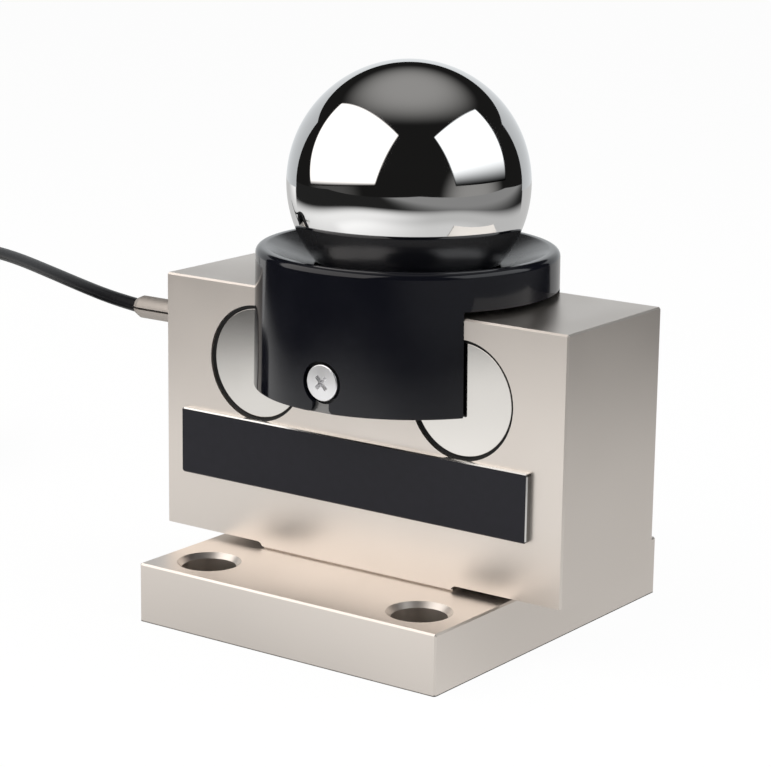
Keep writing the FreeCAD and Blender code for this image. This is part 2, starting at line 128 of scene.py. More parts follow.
# The coil's middle, how far its lowest turns rise over the tie's band, and how narrow that rise is
COIL_MIDDLE = Vector((-298.0, 15.0, 0.0)) * MM
TIE_LIFT = 1.2 * MM
TIE_NARROWNESS = 12

# The photograph's camera. Its roll is in radians, and its lens and sensor are in millimetres.
CAMERA_PLACE = Vector((481.42, -682.53, 274.54)) * MM
CAMERA_AZIMUTH = math.radians(35.66)
CAMERA_ELEVATION = math.radians(13.28)
CAMERA_ROLL = 0.0137
CAMERA_LENS = 120.63
CAMERA_SENSOR = 36.0
CAMERA_RIGHT = Vector((math.cos(CAMERA_AZIMUTH), math.sin(CAMERA_AZIMUTH), 0.0))
TOWARD_CAMERA = Vector((math.sin(CAMERA_AZIMUTH), -math.cos(CAMERA_AZIMUTH), 0.0))
ALONG_X = Vector((1.0, 0.0, 0.0))
ALONG_Y = Vector((0.0, 1.0, 0.0))
UP = Vector((0.0, 0.0, 1.0))

# The white floor, how much of what the camera sees of it is plain white, and the fill from all round
WHITE = (1.0, 1.0, 1.0, 1.0)
FLOOR_GREY = (0.86, 0.86, 0.86, 1.0)
FLOOR_HALF = 4.0
FLOOR_WHITE_SHARE = 0.95
FILL_STRENGTH = 0.55

# The table top that the metal shows. A way has three parts: to the camera's right, towards it, and up.
# A span is where a change of light starts and ends, and its levels are the light before and after it.
# Under the foot the table has a painted shadow, whose half length and half depth are the foot's.
TABLE_COLOUR = (1.0, 0.995, 0.985)
TABLE_HALF = 1.4
TABLE_OVER_FLOOR = 0.3 * MM
TABLE_REACH = 0.437
TABLE_FADE = 0.2
TABLE_CORNER_POWER = 3.0
TABLE_SPAN = (TABLE_REACH - TABLE_FADE / 2, TABLE_REACH + TABLE_FADE / 2)
BEHIND_SPAN = (-0.05, 0.0)
BRIGHT_WAY = (-0.89, 0.45, 0.0)
BRIGHT_SPAN = (0.0, 0.35)
BRIGHT_LEVELS = (0.62, 1.1)
CLOSE_SPAN = (0.22, 0.3)
CLOSE_LEVELS = (0.25, 0.0)
FRONT_SPAN = (0.04, 0.11)
BEYOND_WAY = (0.8, 0.6, 0.0)
BEYOND_SPAN = (0.2, 0.65)
BEYOND_LEVELS = (0.02, 0.3)
FOOT_SHADOW_HALVES = (59.5 * MM, BODY_HIGH.y)
FADE_IN = (0.0, 1.0)
FADE_OUT = (1.0, 0.0)

# The lit backdrop behind the table
BACKDROP_COLOUR = (0.95, 0.98, 1.0)
BACKDROP_DISTANCE = 1.0
BACKDROP_HEIGHT = 0.55
BACKDROP_HALF_ANGLE = math.radians(51.0)
BACKDROP_STEPS = 32
BACKDROP_SPAN = (0.1, 0.8)
BACKDROP_LEVELS = (0.88, 0.58)

# The dark room, and its paler patches: the way to each, its half angle in degrees and its strength
ROOM_COLOUR = (1.0, 0.98, 0.95)
ROOM_RADIUS = 3.0
ROOM_DARK = 0.012
ROOM_GLOWS = (
    ((0.0, -0.25, 0.97), 42.0, 0.36),
    ((0.88, 0.46, -0.1), 36.0, 0.34),
    ((-0.95, 0.25, -0.14), 34.0, 0.09),
)

# The two softboxes. Their directions from the ball are along the object's own axes, glow is how bright
# the metal shows their faces, and the fades are shares of their size.
SOFTBOX_DISTANCE = 1.0
SOFTBOX_EDGE_FADE = 0.03
Softbox = namedtuple("Softbox", "direction roll width height power glow lower_fade colour")
SOFTBOXES = {
    "left_softbox": Softbox(
        direction=(-0.503, -0.698, 0.509), roll=math.radians(8.1), width=1.71, height=1.21,
        power=14.0, glow=1.7, lower_fade=0.08, colour=(1.0, 0.965, 0.935)),
    "right_softbox": Softbox(
        direction=(0.832, 0.281, 0.479), roll=math.radians(-3.7), width=1.21, height=0.99,
        power=8.0, glow=1.6, lower_fade=0.35, colour=(0.97, 0.99, 1.0)),
}

ScrewPlace = namedtuple("ScrewPlace", "along height head_top tip head_radius")


class CellSizes(bpy.types.PropertyGroup):
    """Sizes of the load cell's dressed pieces."""

    edge_round: bpy.props.FloatProperty(
        name="Edge round", description="Round on the moulded sleeve's cut edges",
        default=0.5 * MM, min=0.0, unit="LENGTH")
    apron_round: bpy.props.FloatProperty(
        name="Apron round", description="Round on the upright edges of the sleeve's aprons",
        default=2.0 * MM, min=0.0, unit="LENGTH")
    lip_round: bpy.props.FloatProperty(
        name="Lip round", description="Round on the sleeve's upper rim",
        default=2.2 * MM, min=0.0, unit="LENGTH")
    sleeve_draft: bpy.props.FloatProperty(
        name="Sleeve draft", description="How much wider the sleeve is at its foot than under its lip",
        default=0.5 * MM, min=0.0, unit="LENGTH")
    dish_depth: bpy.props.FloatProperty(
        name="Dish depth", description="Depth of the dish round the ball",
        default=6.5 * MM, min=0.001, unit="LENGTH")
    roof_gap: bpy.props.FloatProperty(
        name="Roof gap", description="Gap between the beam's top and the sleeve's roof",
        default=2.0 * MM, min=0.0, unit="LENGTH")
    ball_gap: bpy.props.FloatProperty(
        name="Ball gap", description="Gap between the ball and the dish",
        default=1.6 * MM, min=0.0, unit="LENGTH")
    counterbore: bpy.props.FloatProperty(
        name="Counterbore", description="Radius of the recess round a screw's head",
        default=7.0 * MM, min=0.001, unit="LENGTH")
    screw_hole: bpy.props.FloatProperty(
        name="Screw hole", description="Radius of a screw's hole through the sleeve",
        default=3.2 * MM, min=0.001, unit="LENGTH")
    relief_width: bpy.props.FloatProperty(
        name="Relief width", description="Width of the groove under a screw's head",
        default=6.2 * MM, min=0.001, unit="LENGTH")
    relief_mouth: bpy.props.FloatProperty(
        name="Relief mouth", description="Round where that groove runs out at the apron's foot",
        default=2.0 * MM, min=0.0, unit="LENGTH")
    relief_foot: bpy.props.FloatProperty(
        name="Relief depth", description="Depth of that groove at the apron's foot",
        default=0.9 * MM, min=0.0, unit="LENGTH")
    relief_lean: bpy.props.FloatProperty(
        name="Relief lean", description="How far that groove's floor leans from upright",
        default=math.radians(20.0), min=0.0, subtype="ANGLE")
    head_height: bpy.props.FloatProperty(
        name="Head height", description="Height of a screw's head",
        default=4.6 * MM, min=0.001, unit="LENGTH")
    head_round: bpy.props.FloatProperty(
        name="Head round", description="Round on a screw's head",
        default=0.5 * MM, min=0.0, unit="LENGTH")
    shank_radius: bpy.props.FloatProperty(
        name="Shank radius", description="Radius of a screw's thread",
        default=3.0 * MM, min=0.001, unit="LENGTH")
    recess_length: bpy.props.FloatProperty(
        name="Recess length", description="Length of the cross recess's bars",
        default=6.6 * MM, min=0.001, unit="LENGTH")
    recess_width: bpy.props.FloatProperty(
        name="Recess width", description="Width of the cross recess's bars",
        default=1.5 * MM, min=0.0001, unit="LENGTH")
    recess_depth: bpy.props.FloatProperty(
        name="Recess depth", description="Depth of the cross recess",
        default=2.6 * MM, min=0.0001, unit="LENGTH")
    plate_corner: bpy.props.FloatProperty(
        name="Plate corners", description="Round on the nameplate's corners",
        default=1.0 * MM, min=0.0, unit="LENGTH")
    plate_bevel: bpy.props.FloatProperty(
        name="Plate bevel", description="Bevel along the nameplate's edges",
        default=0.4 * MM, min=0.0, unit="LENGTH")
    cable_diameter: bpy.props.FloatProperty(
        name="Cable diameter", description="Diameter of the cable's jacket",
        default=5.0 * MM, min=0.001, unit="LENGTH")
    coil_pitch: bpy.props.FloatProperty(
        name="Coil pitch", description="Distance between neighbouring turns of the coil",
        default=5.15 * MM, min=0.001, unit="LENGTH")
    coil_inner_turn: bpy.props.FloatProperty(
        name="Inner turn", description="Radius of the coil's innermost turn",
        default=30.0 * MM, min=0.001, unit="LENGTH")
    coil_layers: bpy.props.IntProperty(
        name="Coil layers", description="Layers of turns, one over another", default=6, min=2)
    coil_turns: bpy.props.IntProperty(
        name="Turns in a layer", description="Turns beside each other in a layer", default=6, min=2)
    points_per_turn: bpy.props.IntProperty(
        name="Points in a turn", description="Control points in one turn of the coil", default=12, min=8)


class CellColours(bpy.types.PropertyGroup):
    """Colours of the load cell's finishes."""

    nickel: bpy.props.FloatVectorProperty(
        name="Nickel", description="Satin nickel plate of the body", subtype="COLOR",
        default=(0.81, 0.752, 0.698), min=0.0, max=1.0)
    cover: bpy.props.FloatVectorProperty(
        name="Covers", description="Smooth steel of the pocket covers", subtype="COLOR",
        default=(0.67, 0.65, 0.622), min=0.0, max=1.0)
    ball: bpy.props.FloatVectorProperty(
        name="Ball", description="Polished steel of the load ball", subtype="COLOR",
        default=(0.76, 0.76, 0.76), min=0.0, max=1.0)
    sleeve: bpy.props.FloatVectorProperty(
        name="Sleeve", description="Glossy black moulding", subtype="COLOR",
        default=(0.0034, 0.0037, 0.006), min=0.0, max=1.0)
    plate: bpy.props.FloatVectorProperty(
        name="Plate face", description="Black face of the nameplate", subtype="COLOR",
        default=(0.009, 0.009, 0.013), min=0.0, max=1.0)
    # The nameplate's edge metal: a painted highlight along its upper and right edges, and, darkened, painted
    # shade on its right side
    plate_painted_highlight: bpy.props.FloatVectorProperty(
        name="Plate edge", description="Bare metal along the nameplate's edges", subtype="COLOR",
        default=(0.8, 0.79, 0.77), min=0.0, max=1.0)
    zinc: bpy.props.FloatVectorProperty(
        name="Zinc", description="Bright zinc plate of the screws", subtype="COLOR",
        default=(0.92, 0.92, 0.93), min=0.0, max=1.0)
    seal: bpy.props.FloatVectorProperty(
        name="Seal", description="Black sealing compound", subtype="COLOR",
        default=(0.008, 0.008, 0.008), min=0.0, max=1.0)
    cable: bpy.props.FloatVectorProperty(
        name="Cable", description="Cable jacket", subtype="COLOR",
        default=(0.004, 0.004, 0.005), min=0.0, max=1.0)


def tree_of(name):
    """A new material, its node tree and its shader."""
    material = bpy.data.materials.new(name)
    material.use_nodes = True
    tree = material.node_tree
    return material, tree, tree.nodes["Principled BSDF"]


def grain(tree, scale, detail, stretch=(1.0, 1.0, 1.0)):
    """Noise on object coordinates, in cycles for each metre, stretched along the axes."""
    where = tree.nodes.new("ShaderNodeTexCoord")
    turn = tree.nodes.new("ShaderNodeMapping")
    turn.inputs["Scale"].default_value = stretch
    noise = tree.nodes.new("ShaderNodeTexNoise")
    noise.inputs["Scale"].default_value = scale
    noise.inputs["Detail"].default_value = detail
    tree.links.new(where.outputs["Object"], turn.inputs["Vector"])
    tree.links.new(turn.outputs["Vector"], noise.inputs["Vector"])
    return noise.outputs["Fac"]


def spread(tree, value, low, high, start=0.3, end=0.7):
    """The value, stretched from the noise's usual range, or another, to a new one."""
    node = tree.nodes.new("ShaderNodeMapRange")
    node.inputs["From Min"].default_value = start
    node.inputs["From Max"].default_value = end
    node.inputs["To Min"].default_value = low
    node.inputs["To Max"].default_value = high
    tree.links.new(value, node.inputs["Value"])
    return node.outputs["Result"]


def shade(colour, factor):
    """A darker or lighter shade of a colour."""
    return tuple(channel * factor for channel in colour)


def tint(tree, shader, value, colour, first, second):
    """Gives the shader a colour that goes from one shade of it to another with a value."""
    node = tree.nodes.new("ShaderNodeMix")
    node.data_type = "RGBA"
    node.inputs["A"].default_value = (*shade(colour, first), 1.0)
    node.inputs["B"].default_value = (*shade(colour, second), 1.0)
    tree.links.new(value, node.inputs["Factor"])
    tree.links.new(node.outputs["Result"], shader.inputs["Base Color"])


def polish(tree, shader, value, smooth, rough):
    """Gives the shader a roughness that changes with a value."""
    tree.links.new(spread(tree, value, smooth, rough), shader.inputs["Roughness"])


def emboss(tree, shader, height, depth):
    """A bump of that depth, in metres, under the shader's gloss."""
    bump = tree.nodes.new("ShaderNodeBump")
    bump.inputs["Distance"].default_value = depth
    tree.links.new(height, bump.inputs["Height"])
    tree.links.new(bump.outputs["Normal"], shader.inputs["Normal"])


def satin_metal(name, colour, smooth, rough):
    """Plated or ground metal: cloudy gloss, a faint change of tone and a fine grain."""
    material, tree, shader = tree_of(name)
    shader.inputs["Metallic"].default_value = 1.0
    cloud = grain(tree, scale=28.0, detail=3.0)
    tint(tree, shader, cloud, colour, 0.97, 1.02)
    polish(tree, shader, cloud, smooth, rough)
    emboss(tree, shader, grain(tree, scale=900.0, detail=4.0), depth=0.002 * MM)
    return material


def mirror_steel(name, colour):
    """Polished bearing steel with faint wiping marks."""
    material, tree, shader = tree_of(name)
    shader.inputs["Metallic"].default_value = 1.0
    smear = grain(tree, scale=34.0, detail=5.0, stretch=(1.0, 1.0, 2.2))
    tint(tree, shader, smear, colour, 0.96, 1.0)
    marks = spread(tree, smear, low=0.02, high=0.075, start=0.45, end=0.75)
    tree.links.new(marks, shader.inputs["Roughness"])
    return material


def black_moulding(name, colour, smooth, rough, sheen):
    """Black moulding, glossy or dull, with a slight flow pattern in its skin."""
    material, tree, shader = tree_of(name)
    shader.inputs["Specular IOR Level"].default_value = sheen
    flow = grain(tree, scale=60.0, detail=3.0)
    tint(tree, shader, flow, colour, 0.85, 1.25)
    polish(tree, shader, flow, smooth, rough)
    emboss(tree, shader, grain(tree, scale=190.0, detail=2.0), depth=0.008 * MM)
    return material


def fine_plastic(name, colour, smooth=0.35, rough=0.5, scale=1400.0, depth=0.01 * MM, sheen=0.5):
    """Plastic or rubber with a fine moulded grain."""
    material, tree, shader = tree_of(name)
    shader.inputs["Specular IOR Level"].default_value = sheen
    skin = grain(tree, scale, detail=3.0)
    tint(tree, shader, skin, colour, 0.8, 1.2)
    polish(tree, shader, skin, smooth, rough)
    emboss(tree, shader, skin, depth)
    return material


def gauge_film(name, colour):
    """Amber foil of a strain gauge, with the fine lines of its grid."""
    material, tree, shader = tree_of(name)
    where = tree.nodes.new("ShaderNodeTexCoord")
    turn = tree.nodes.new("ShaderNodeMapping")
    turn.inputs["Rotation"].default_value = (0.0, math.radians(45.0), 0.0)
    lines = tree.nodes.new("ShaderNodeTexWave")
    lines.inputs["Scale"].default_value = 420.0
    tree.links.new(where.outputs["Object"], turn.inputs["Vector"])
    tree.links.new(turn.outputs["Vector"], lines.inputs["Vector"])
    tint(tree, shader, lines.outputs["Fac"], colour, 1.0, 0.45)
    shader.inputs["Roughness"].default_value = 0.35
    return material


def braid(name, colour):
    """Twisted tinned strands of the cable's shield."""
    material, tree, shader = tree_of(name)
    shader.inputs["Metallic"].default_value = 1.0
    strands = grain(tree, scale=2600.0, detail=1.0, stretch=(1.0, 2.4, 1.0))
    tint(tree, shader, strands, colour, 0.45, 1.0)
    shader.inputs["Roughness"].default_value = 0.4
    emboss(tree, shader, strands, depth=0.06 * MM)
    return material


def finish_node(node, material):
    """Gives a CAD node its material."""
    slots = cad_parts[node].material_slots
    slots[0].material = material


def new_piece(name, mesh, slot, *nodes):
    """A dressed piece in place of CAD nodes."""
    piece = bpy.data.objects.new(name, mesh)
    bpy.context.scene.collection.objects.link(piece)
    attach(piece, "root")
    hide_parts(*nodes)
    return piece


def clean(bm):
    """Merges a bmesh's doubled corners and points its faces outwards."""
    bmesh.ops.remove_doubles(bm, verts=bm.verts, dist=MERGE)
    bmesh.ops.recalc_face_normals(bm, faces=bm.faces)


def mesh_from(bm, name, *materials):
    """A mesh from a bmesh: clean, outward and smooth, with sharp edges kept."""
    clean(bm)
    mesh = bpy.data.meshes.new(name)
    bm.to_mesh(mesh)
    bm.free()
    for material in materials:
        mesh.materials.append(material)
    mesh.shade_smooth()
    mesh.set_sharp_from_angle(angle=SHARP_SHADING)
    return mesh


def outline(bm, points):
    """A closed outline of corners in the XZ plane."""
    corners = [bm.verts.new((x, 0.0, z)) for x, z in points]
    for first, second in zip(corners, corners[1:] + corners[:1]):
        bm.edges.new((first, second))
    return corners


def round_corner(bm, corner, radius):
    """Rounds one corner of an outline. The offset is measured along its edges."""
    ways = [(edge.other_vert(corner).co - corner.co).normalized() for edge in corner.link_edges]
    half = ways[0].angle(ways[1]) / 2
    bmesh.ops.bevel(bm, geom=[corner], offset=radius / math.tan(half), offset_type="OFFSET",
                    affect="VERTICES", segments=6, profile=0.5, material=-1)


def turned(points, rounds, steps=128):
    """A bmesh turned about Z from a closed outline of (radius, height), with some corners rounded."""
    bm = bmesh.new()
    corners = outline(bm, points)
    for index, radius in rounds.items():
        round_corner(bm, corners[index], radius)
    bmesh.ops.spin(bm, geom=bm.verts[:] + bm.edges[:], axis=UP, cent=(0, 0, 0), angle=math.tau,
                   steps=steps, use_merge=True)
    clean(bm)
    return bm


def carve(bm, *cutters):
    """The bmesh with the cutters' shapes taken out of it."""
    body = bpy.data.objects.new("carving", bpy.data.meshes.new("carving"))
    bm.to_mesh(body.data)
    bm.free()
    tools = []
    for cutter in cutters:
        tool = bpy.data.objects.new("cutter", bpy.data.meshes.new("cutter"))
        cutter.to_mesh(tool.data)
        cutter.free()
        tools.append(tool)
    for item in (body, *tools):
        bpy.context.scene.collection.objects.link(item)
    for tool in tools:
        cut = body.modifiers.new("cut", "BOOLEAN")
        cut.operation = "DIFFERENCE"
        cut.solver = "EXACT"
        cut.object = tool
    result = bmesh.new()
    result.from_object(body, bpy.context.evaluated_depsgraph_get())
    for item in (body, *tools):
        mesh = item.data
        bpy.data.objects.remove(item)
        bpy.data.meshes.remove(mesh)
    return result


def block(low, high):
    """A box between two corners, as a bmesh."""
    bm = bmesh.new()
    bmesh.ops.create_cube(bm, size=1.0)
    low, high = Vector(low), Vector(high)
    bmesh.ops.scale(bm, vec=high - low, verts=bm.verts)
    bmesh.ops.translate(bm, vec=(low + high) / 2, verts=bm.verts)
    return bm


def stand_at_face(bm, side, out, height, along):
    """Turns a shape that stands on Z so that it points out of the front or rear face."""
    turn = Matrix.Rotation(math.radians(-90.0 * side), 3, "X")
    bmesh.ops.rotate(bm, matrix=turn, verts=bm.verts)
    bmesh.ops.translate(bm, vec=(along, side * out, height), verts=bm.verts)


def soften(piece, width, segments=3, weighted=False):
    """A small round on a piece's sharp edges, with its flat and straight faces shaded true."""
    bevel = piece.modifiers.new("edge round", "BEVEL")
    bevel.width = width
    bevel.segments = segments
    bevel.limit_method = "WEIGHT" if weighted else "ANGLE"
    bevel.angle_limit = SHARP_EDGE
    level = piece.modifiers.new("true shading", "WEIGHTED_NORMAL")
    level.keep_sharp = True


def screw_place(name):
    """A sleeve screw's X and height, how far out its head and tip are, and its head's radius."""
    low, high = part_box("sleeve_screw_" + name)
    middle = (low + high) / 2
    return ScrewPlace(
        along=middle.x,
        height=middle.z,
        head_top=max(-low.y, high.y),
        tip=min(abs(low.y), abs(high.y)),
        head_radius=(high.x - low.x) / 2,
    )


class LOADCELL_OT_body(bpy.types.Operator):
    """Finish the spring element in satin nickel"""

    bl_idname = "loadcell.body"
    bl_label = "Body"

    def execute(self, context):
        colours = context.scene.cell_colours
        finish_node("spring_element", satin_metal("satin_nickel", colours.nickel, smooth=0.32, rough=0.38))
        return {"FINISHED"}


class LOADCELL_OT_ball(bpy.types.Operator):
    """Make the polished load ball and finish the seat under it"""

    bl_idname = "loadcell.ball"
    bl_label = "Load ball"

    def execute(self, context):
        bm = bmesh.new()
        bmesh.ops.create_uvsphere(bm, u_segments=192, v_segments=96, radius=BALL_RADIUS)
        bmesh.ops.translate(bm, vec=BALL_MIDDLE, verts=bm.verts)
        polished = mirror_steel("mirror_steel", context.scene.cell_colours.ball)
        new_piece("polished_ball", mesh_from(bm, "polished_ball", polished), "ball_chrome", "load_ball")
        finish_node("ball_seat", satin_metal("ground_seat", SEAT_STEEL, smooth=0.25, rough=0.4))
        return {"FINISHED"}


class LOADCELL_OT_sleeve(bpy.types.Operator):
    """Mould the dust sleeve: a drum with a dish round the ball, cut away to straddle the beam"""

    bl_idname = "loadcell.sleeve"
    bl_label = "Dust sleeve"

    # Skins of the sleeve: the duller dish, and the reliefs' floors painted grey as a painted reflection
    DISH_SKIN = 1
    RELIEF_PAINTED_REFLECTION = 2

    def dish_edge(self, sizes):
        """The radius at which the lip ends and the dish begins."""
        return SLEEVE_HIGH.y - sizes.sleeve_draft - LIP_WIDTH * sizes.lip_round

    def drum(self, sizes):
        """The whole drum, with its rounded lip and the dish, before it is cut."""
        top, bottom = SLEEVE_HIGH.z, SLEEVE_LOW.z
        foot = SLEEVE_HIGH.y
        dish = top - sizes.dish_depth
        roof = BEAM_TOP + sizes.roof_gap
        bore = math.sqrt(BALL_RADIUS ** 2 - (BALL_MIDDLE.z - dish) ** 2) + sizes.ball_gap
        corners = [
            (0.0, bottom),
            (foot, bottom),
            (foot - sizes.sleeve_draft, top),
            (self.dish_edge(sizes), top),
            (bore, dish),
            (bore, roof),
            (0.0, roof),
        ]
        rounds = {1: sizes.edge_round, 2: sizes.lip_round, 3: sizes.lip_round, 4: sizes.edge_round}
        return turned(corners, rounds, steps=192)

    def screw_cutters(self, sizes, place, side):
        """Cutters for a screw's hole and for the counterbore round its head."""
        reach = SLEEVE_HIGH.y + OVERCUT
        seat = place.head_top - sizes.head_height
        cutters = []
        for radius, inner in ((sizes.screw_hole, BEAM_FACE - OVERCUT), (sizes.counterbore, seat)):
            rod = bmesh.new()
            bmesh.ops.create_cone(rod, cap_ends=True, segments=96, radius1=radius, radius2=radius,
                                  depth=reach - inner)
            stand_at_face(rod, side, (inner + reach) / 2, place.height, place.along)
            cutters.append(rod)
        return cutters

    def relief_cutter(self, sizes, place, side):
        """The cutter for the relief under a screw's head, whose floor leans out to the apron's foot."""
        reach = SLEEVE_HIGH.y + OVERCUT
        half, wide = sizes.relief_width / 2, sizes.relief_width
        foot = SLEEVE_LOW.z - CUT_CLEARANCE
        bm = bmesh.new()
        corners = outline(bm, [
            (-wide, foot - OVERCUT), (wide, foot - OVERCUT), (wide, foot), (half, foot),
            (half, place.height), (-half, place.height), (-half, foot), (-wide, foot),
        ])
        for index in (3, 6):
            round_corner(bm, corners[index], sizes.relief_mouth)
        face = bmesh.ops.contextual_create(bm, geom=bm.edges[:])["faces"]
        bmesh.ops.translate(bm, vec=(place.along, side * reach, 0.0), verts=bm.verts)
        drawn = bmesh.ops.extrude_face_region(bm, geom=face)["geom"]
        for item in drawn:
            if isinstance(item, bmesh.types.BMVert):
                rise = (item.co.z - SLEEVE_LOW.z) * math.tan(sizes.relief_lean)
                item.co.y = side * (SLEEVE_HIGH.y - sizes.relief_foot - rise)
        bmesh.ops.recalc_face_normals(bm, faces=bm.faces)
        return bm

    def weigh_edges(self, bm, sizes):
        """Marks how round each sharp edge is: the aprons' upright edges fully, the others less."""
        tall, near = 5.0 * MM, 0.1 * MM
        lesser = sizes.edge_round / sizes.apron_round
        bmesh.ops.remove_doubles(bm, verts=bm.verts, dist=MERGE)
        weight = bm.edges.layers.float.new("bevel_weight_edge")
        for edge in bm.edges:
            if len(edge.link_faces) == 2 and edge.calc_face_angle() > SHARP_EDGE:
                first, second = edge.verts
                upright = abs(first.co.z - second.co.z) > tall
                at_face = all(abs(abs(vert.co.y) - BEAM_FACE) < near for vert in edge.verts)
                outside = all(abs(vert.co.x) > BEAM_FACE for vert in edge.verts)
                edge[weight] = 1.0 if upright and at_face and outside else lesser

    def mark_skins(self, bm, sizes):
        """Gives the dish inside the lip its duller skin, and the floors of the reliefs a duller skin painted
        grey as a painted reflection.
        """
        edge = self.dish_edge(sizes)
        under_dish = SLEEVE_HIGH.z - sizes.dish_depth - 1.0 * MM
        lean, near = math.sin(sizes.relief_lean), 0.01
        for face in bm.faces:
            middle = face.calc_center_median()
            if middle.z > under_dish and middle.xy.length < edge:
                face.material_index = self.DISH_SKIN
            leans = abs(face.normal.z - lean) < near and abs(face.normal.x) < near
            if leans and middle.z < BEAM_TOP:
                face.material_index = self.RELIEF_PAINTED_REFLECTION

    def execute(self, context):
        sizes = context.scene.cell_sizes
        black = context.scene.cell_colours.sleeve
        wall = black_moulding("gloss_black", black, smooth=0.07, rough=0.14, sheen=0.4)
        dish = black_moulding("dull_black", black, smooth=0.2, rough=0.28, sheen=0.8)
        # The reliefs' floors: the black moulding with more sheen, a real reflection, and painted grey, a
        # painted reflection
        relief = black_moulding("relief_painted_reflection", RELIEF_PAINTED_REFLECTION_GREY, smooth=0.2, rough=0.28, sheen=1.0)
        reach = SLEEVE_HIGH.y + OVERCUT
        cutters = [block((-reach, -BEAM_FACE, SLEEVE_LOW.z - OVERCUT),
                         (reach, BEAM_FACE, BEAM_TOP + sizes.roof_gap))]
        for name, side in SIDES.items():
            place = screw_place(name)
            cutters += self.screw_cutters(sizes, place, side)
            cutters.append(self.relief_cutter(sizes, place, side))
        bm = carve(self.drum(sizes), *cutters)
        self.weigh_edges(bm, sizes)
        self.mark_skins(bm, sizes)
        mesh = mesh_from(bm, "moulded_sleeve", wall, dish, relief)
        piece = new_piece("moulded_sleeve", mesh, "sleeve_black", "dust_sleeve")
        soften(piece, sizes.apron_round, segments=4, weighted=True)
        return {"FINISHED"}


class LOADCELL_OT_screws(bpy.types.Operator):
    """Turn the two pan head screws and press their cross recesses"""

    bl_idname = "loadcell.screws"
    bl_label = "Sleeve screws"

    def blank(self, sizes, place, seat):
        """A screw on Z with its head's underside at the origin, before its recess is pressed."""
        high, shank, head = sizes.head_height, sizes.shank_radius, place.head_radius
        end = place.tip - seat
        profile = [
            (0.0, end),
            (shank - SCREW_TIP, end),
            (shank, end + SCREW_TIP),
            (shank, 0.0),
            (head, 0.0),
            (head, high - HEAD_CROWN),
            (0.0, high),
        ]
        return turned(profile, {4: HEAD_FOOT_ROUND, 5: sizes.head_round}, steps=96)

    def recess_bar(self, sizes, turn):
        """The cutter for one bar of the cross recess, smaller at its floor."""
        top = sizes.head_height
        long, wide = sizes.recess_length / 2, sizes.recess_width / 2
        bar = block((-long, -wide, top - sizes.recess_depth), (long, wide, top + OVERCUT))
        floor = [vert for vert in bar.verts if vert.co.z < top]
        bmesh.ops.scale(bar, vec=RECESS_TAPER, verts=floor)
        bmesh.ops.rotate(bar, matrix=Matrix.Rotation(math.radians(turn), 3, "Z"), verts=bar.verts)
        return bar

    def execute(self, context):
        sizes = context.scene.cell_sizes
        zinc = satin_metal("bright_zinc", context.scene.cell_colours.zinc, smooth=0.3, rough=0.4)
        for name, side in SIDES.items():
            place = screw_place(name)
            seat = place.head_top - sizes.head_height
            bars = [self.recess_bar(sizes, turn) for turn in (45.0, 135.0)]
            bm = carve(self.blank(sizes, place, seat), *bars)
            stand_at_face(bm, side, seat, place.height, place.along)
            mesh = mesh_from(bm, "zinc_screw_" + name, zinc)
            piece = new_piece("zinc_screw_" + name, mesh, "screw_zinc", "sleeve_screw_" + name)
            soften(piece, RECESS_ROUND, segments=2)
        return {"FINISHED"}


class LOADCELL_OT_covers(bpy.types.Operator):
    """Set the four pocket covers in their black sealing rings"""

    bl_idname = "loadcell.covers"
    bl_label = "Pocket covers"

    def set_cover(self, place, side, steel, compound):
        """One cover, flat with a softened edge, and the ring round it, with a dip in its face."""
        low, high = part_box("pocket_cover_" + place)
        ring_low, ring_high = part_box("pocket_seal_" + place)
        middle = (low + high) / 2
        radius, ring = (high.x - low.x) / 2, (ring_high.x - ring_low.x) / 2
        thick = high.y - low.y
        inner = min(abs(low.y), abs(high.y))
        plate = turned([(0, 0), (radius, 0), (radius, thick), (0, thick)], {})
        stand_at_face(plate, side, inner, middle.z, middle.x)
        mesh = mesh_from(plate, "steel_cover_" + place, steel)
        disc = new_piece("steel_cover_" + place, mesh, "cover_steel", "pocket_cover_" + place)
        soften(disc, COVER_ROUND)
        dip = thick - SEAL_DIP
        profile = [(radius, 0), (ring, 0), (ring, thick), ((radius + ring) / 2, dip), (radius, dip)]
        bead = turned(profile, {3: SEAL_ROUND})
        stand_at_face(bead, side, inner, middle.z, middle.x)
        mesh = mesh_from(bead, "sealing_ring_" + place, compound)
        new_piece("sealing_ring_" + place, mesh, "seal_rubber", "pocket_seal_" + place)

    def execute(self, context):
        colours = context.scene.cell_colours
        steel = satin_metal("smooth_cover", colours.cover, smooth=0.1, rough=0.17)
        compound = fine_plastic("sealing_compound", colours.seal, smooth=0.4, rough=0.5,
                                scale=700.0, sheen=0.2)
        for side_name, side in SIDES.items():
            for end_name in ENDS:
                self.set_cover(side_name + "_" + end_name, side, steel, compound)
        finish_node("gland_bush", compound)
        return {"FINISHED"}


